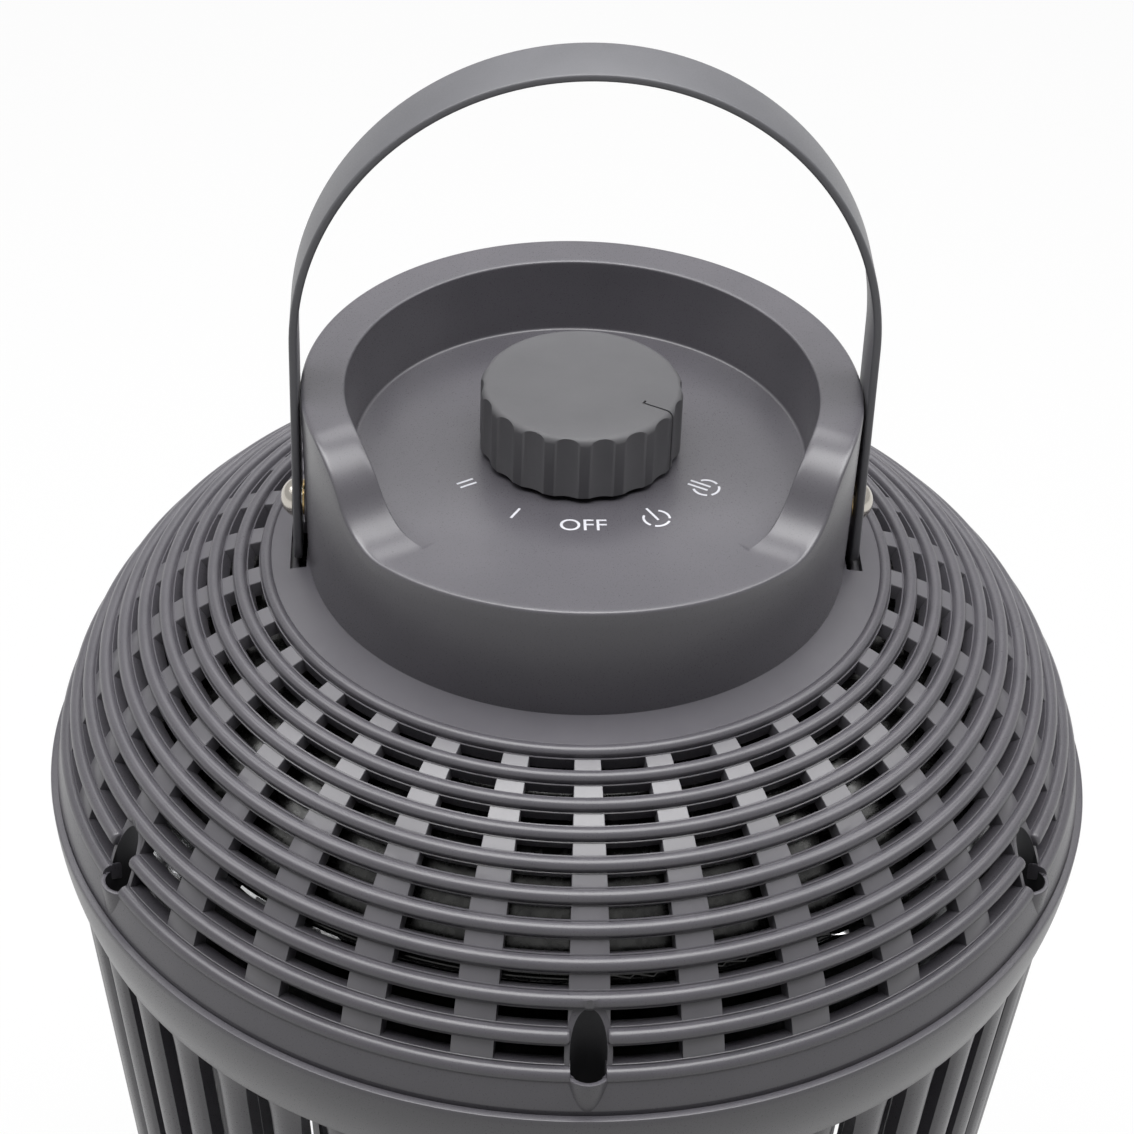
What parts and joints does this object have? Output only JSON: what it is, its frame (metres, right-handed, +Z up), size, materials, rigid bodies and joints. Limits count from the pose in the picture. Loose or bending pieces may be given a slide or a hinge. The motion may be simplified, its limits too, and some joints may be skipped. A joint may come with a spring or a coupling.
{
  "type": "lantern patio heater",
  "caption": "Free-standing electric patio heater shaped like a lantern: barred cage, grille dome, round control head with rotary dial and a folding carrying handle.",
  "frame": {"origin": "centre of the footprint, on the surface that the feet stand on", "axes": "+Z up along the lantern's axis; the dial and the low front of the head face -Y; the handle's pivots lie along X"},
  "size_m": [0.2822, 0.2822, 0.5357],
  "materials": {
    "body_plastic": "satin mould grain",
    "knob_plastic": "fine matt grain",
    "handle_steel": "satin powder coat",
    "bright_screw": "bright plated",
    "brass": "turned",
    "zinc_steel": "zinc plated",
    "shield_sheet": "rolled sheet",
    "reflector_sheet": "polished",
    "tube_metal": "drawn",
    "quartz": "clear",
    "filament_wire": "dark drawn wire",
    "ceramic": "unglazed ceramic, close to white",
    "foot_rubber": "matt",
    "switch_plastic": "moulded",
    "wire_cover": "silicone"
  },
  "bodies": {
    "root": {"base_body": "body_plastic", "base_pan": "body_plastic", "base_screws": "zinc_steel", "rubber_feet": "foot_rubber", "terminal_block": "switch_plastic", "tilt_switch": "switch_plastic", "thermal_cutout": "zinc_steel", "inlet_bush": "foot_rubber", "guard_cage": "body_plastic", "cage_screws": "zinc_steel", "dome_grille": "body_plastic", "dome_screws": "zinc_steel", "top_deck": "body_plastic", "deck_screws": "zinc_steel", "control_housing": "body_plastic", "housing_screws": "zinc_steel", "pivot_screws": "bright_screw", "pivot_spacers": "brass", "pivot_nuts": "zinc_steel", "rotary_switch": "switch_plastic", "switch_nut": "brass", "heat_shield": "shield_sheet", "shield_standoffs": "zinc_steel", "shield_screws": "zinc_steel", "upper_reflector": "reflector_sheet", "lower_reflector": "reflector_sheet", "tie_rods": "zinc_steel", "lower_sleeves": "tube_metal", "upper_sleeves": "tube_metal", "rod_nuts": "zinc_steel", "centre_tube": "tube_metal", "lamp_sockets": "ceramic", "lamp_caps": "ceramic", "quartz_tubes": "quartz", "filaments": "filament_wire", "wiring_loom": "wire_cover"},
    "handle": {"carry_handle": "handle_steel"},
    "knob": {"control_knob": "knob_plastic", "switch_shaft": "zinc_steel"}
  },
  "joints": [
    {"name": "handle_fold", "type": "hinge", "parent": "root", "child": "handle", "pos_m": [0, 0, 0.4077], "axis": [1, 0, 0], "range_deg": [-100, 100]},
    {"name": "knob_turn", "type": "hinge", "parent": "root", "child": "knob", "pos_m": [0, 0.0025, 0.4226], "axis": [0, 0, 1], "range_deg": [-120, 0]}
  ]
}
